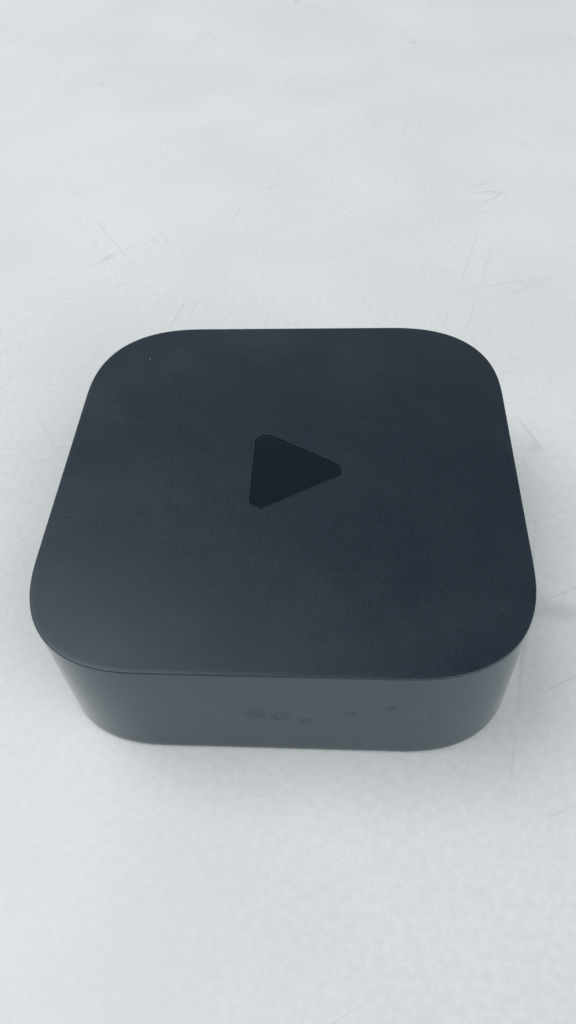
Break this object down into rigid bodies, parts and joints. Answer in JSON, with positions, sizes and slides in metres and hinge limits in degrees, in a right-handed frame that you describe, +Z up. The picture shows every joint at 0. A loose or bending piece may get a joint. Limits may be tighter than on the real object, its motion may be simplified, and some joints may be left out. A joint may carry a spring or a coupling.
{
  "type": "streaming media player",
  "caption": "Low square box with large soft corners, matt top, glossy sides, a flush play sign, rear power, video and network sockets, and a shell that lifts off the board stack.",
  "frame": {"origin": "centre of the foot's underside, on the surface the box stands on", "axes": "+Z up, +Y towards the rear wall with the sockets, +X to the right seen from the front"},
  "size_m": [0.093, 0.093, 0.031],
  "materials": {
    "shell": "matt top, glossy sides",
    "mark": "glossy",
    "lens": "dark clear",
    "graphite": "satin",
    "tray": "matt",
    "rubber": "matt",
    "sheet": "satin",
    "power_board": "satin solder mask",
    "logic_board": "satin solder mask",
    "capacitor_can": "sleeved can",
    "ferrite": "matt",
    "winding": "taped",
    "copper": "enamelled wire",
    "capacitor_disc": "dipped",
    "film_case": "moulded",
    "black_plastic": "moulded",
    "chip": "moulded",
    "pad": "soft",
    "steel": "plated",
    "cable": "sleeved",
    "gold": "plated",
    "aluminium": "cast and blasted",
    "brass": "turned"
  },
  "bodies": {
    "base": {"base_tray": "tray", "rubber_foot": "rubber", "lower_insulator": "sheet", "upper_insulator": "sheet", "power_board": "power_board", "bulk_capacitor": "capacitor_can", "output_capacitor_1": "capacitor_can", "output_capacitor_2": "capacitor_can", "transformer_core": "ferrite", "transformer_winding": "winding", "line_choke": "copper", "output_inductor": "ferrite", "safety_capacitor": "capacitor_disc", "filter_capacitor": "film_case", "mains_fuse": "black_plastic", "bridge_rectifier": "chip", "switch_transistor": "chip", "optocoupler": "black_plastic", "power_link_socket": "black_plastic", "power_link_plug": "black_plastic", "logic_board": "logic_board", "processor": "chip", "thermal_pad": "pad", "memory_chip_1": "chip", "memory_chip_2": "chip", "flash_chip": "chip", "power_management_chip": "chip", "core_inductor_1": "ferrite", "core_inductor_2": "ferrite", "core_inductor_3": "ferrite", "wireless_shield": "steel", "network_magnetics": "chip", "infrared_receiver": "lens", "status_led": "lens", "antenna_left": "steel", "antenna_right": "steel", "antenna_cable_left": "cable", "antenna_cable_right": "cable", "inlet_housing": "black_plastic", "inlet_pin_left": "steel", "inlet_pin_right": "steel", "video_socket_shell": "steel", "video_socket_tongue": "black_plastic", "network_socket_housing": "black_plastic", "network_socket_shield": "steel", "network_socket_contacts": "gold", "heat_sink": "aluminium", "spacer_1": "brass", "spacer_2": "brass", "spacer_3": "brass", "spacer_4": "brass", "stack_screw_1": "steel", "stack_screw_2": "steel", "stack_screw_3": "steel", "stack_screw_4": "steel"},
    "shell": {"housing_shell": "shell", "top_mark": "mark", "light_pipe": "lens", "roof_heat_spreader": "graphite"}
  },
  "joints": [
    {"name": "shell_lift", "type": "slide", "parent": "base", "child": "shell", "axis": [0, 0, 1], "range_m": [0, 0.04]}
  ]
}
